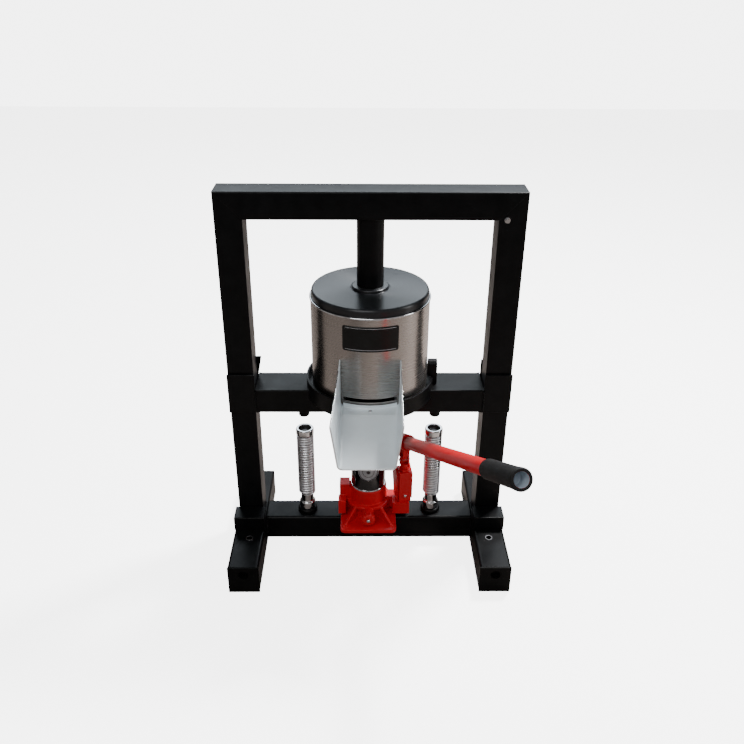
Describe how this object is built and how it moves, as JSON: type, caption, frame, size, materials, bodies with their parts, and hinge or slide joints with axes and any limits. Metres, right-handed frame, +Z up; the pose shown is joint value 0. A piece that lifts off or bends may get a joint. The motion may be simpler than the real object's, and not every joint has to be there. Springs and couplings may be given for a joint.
{
  "type": "cheese press",
  "caption": "Bench-top press: a hydraulic bottle jack lifts a platen carrying a stainless cylinder and drain spout up against a round press plate hung from a portal frame.",
  "frame": {"origin": "on the floor, at the centre of the four bench holes in the feet", "axes": "+X right, +Y to the back, +Z up; the spout points along -Y"},
  "size_m": [0.45, 0.5506, 0.615],
  "materials": {
    "frame_black": "gloss black powder coat",
    "plug_black": "moulded black",
    "platen_black": "gloss black powder coat",
    "stainless": "brushed stainless",
    "chrome": "polished",
    "jack_red": "gloss red",
    "jack_black": "gloss black",
    "label_silver": "plain silver film",
    "label_black": "plain black film",
    "rubber": "matt black"
  },
  "bodies": {
    "frame": {"top_beam": "frame_black", "left_upright": "frame_black", "right_upright": "frame_black", "base_beam": "frame_black", "left_foot": "frame_black", "right_foot": "frame_black", "left_foot_bracket": "frame_black", "right_foot_bracket": "frame_black", "foot_plugs": "plug_black", "corner_bolt": "chrome", "press_column": "frame_black", "column_collar": "frame_black", "press_plate": "frame_black", "plate_screw": "stainless", "spring_washers": "frame_black", "left_spring_seat": "chrome", "right_spring_seat": "chrome", "left_spring_rod": "chrome", "right_spring_rod": "chrome", "left_spring": "chrome", "right_spring": "chrome", "jack_base": "jack_red", "jack_bolts": "chrome", "ram_barrel": "jack_black", "reservoir": "jack_black", "reservoir_foot_ring": "chrome", "jack_top_nut": "jack_black", "ram_wiper": "chrome", "jack_label": "label_silver", "filler_plug": "rubber", "pump_block": "jack_red", "pump_gland": "chrome", "fulcrum_links": "jack_red", "fulcrum_pin": "chrome"},
    "platen": {"platen_beam": "platen_black", "left_front_guide": "platen_black", "right_front_guide": "platen_black", "left_back_guide": "platen_black", "right_back_guide": "platen_black", "stop_pegs": "platen_black", "drip_tray": "platen_black", "side_lug": "platen_black", "drain_chute": "stainless", "chute_screw": "chrome"},
    "cylinder": {"cylinder_wall": "stainless", "cylinder_rim": "stainless", "drain_plate": "stainless", "name_plate": "label_black"},
    "ram": {"ram": "chrome"},
    "screw": {"extension_screw": "chrome"},
    "lever": {"handle_socket": "jack_red"},
    "handle": {"pump_handle": "jack_red", "handle_grip": "rubber"},
    "plunger": {"pump_plunger": "chrome", "link_pin": "chrome"},
    "valve": {"valve_knob": "jack_red", "valve_knob_screw": "chrome"},
    "left_cap": {"left_spring_cap": "chrome"},
    "right_cap": {"right_spring_cap": "chrome"}
  },
  "joints": [
    {"name": "platen_lift", "type": "slide", "parent": "frame", "child": "platen", "axis": [0, 0, 1], "range_m": [-0.029, 0.06]},
    {"name": "ram_stroke", "type": "slide", "parent": "frame", "child": "ram", "axis": [0, 0, 1], "range_m": [-0.029, 0.06]},
    {"name": "screw_extension", "type": "slide", "parent": "ram", "child": "screw", "axis": [0, 0, 1], "range_m": [-0.025, 0]},
    {"name": "pump_lever", "type": "hinge", "parent": "frame", "child": "lever", "pos_m": [0.05301, 0.00543, 0.164], "axis": [-0.974, -0.2267, 0], "range_deg": [-22, 8]},
    {"name": "pump_plunger", "type": "slide", "parent": "frame", "child": "plunger", "axis": [0, 0, 1], "range_m": [-0.0085, 0.0032]},
    {"name": "handle_slide", "type": "slide", "parent": "lever", "child": "handle", "axis": [0.1999, -0.8592, 0.471], "range_m": [0, 0.05]},
    {"name": "release_valve", "type": "hinge", "parent": "frame", "child": "valve", "pos_m": [-0.0015, -0.0555, 0.0715], "axis": [0, -1, 0], "range_deg": [0, 270]},
    {"name": "cylinder_lift", "type": "slide", "parent": "platen", "child": "cylinder", "axis": [0, 0, 1], "range_m": [0, 0.05]},
    {"name": "left_spring_cap", "type": "slide", "parent": "frame", "child": "left_cap", "axis": [0, 0, -1], "range_m": [0, 0.018], "stiffness_N_per_m": 8000, "deforming": ["left_spring"]},
    {"name": "right_spring_cap", "type": "slide", "parent": "frame", "child": "right_cap", "axis": [0, 0, -1], "range_m": [0, 0.018], "stiffness_N_per_m": 8000, "deforming": ["right_spring"]}
  ],
  "couplings": [
    {"joint": "ram_stroke", "follows": "platen_lift", "ratio": 1},
    {"joint": "pump_plunger", "follows": "pump_lever", "m_per_rad": 0.022}
  ]
}
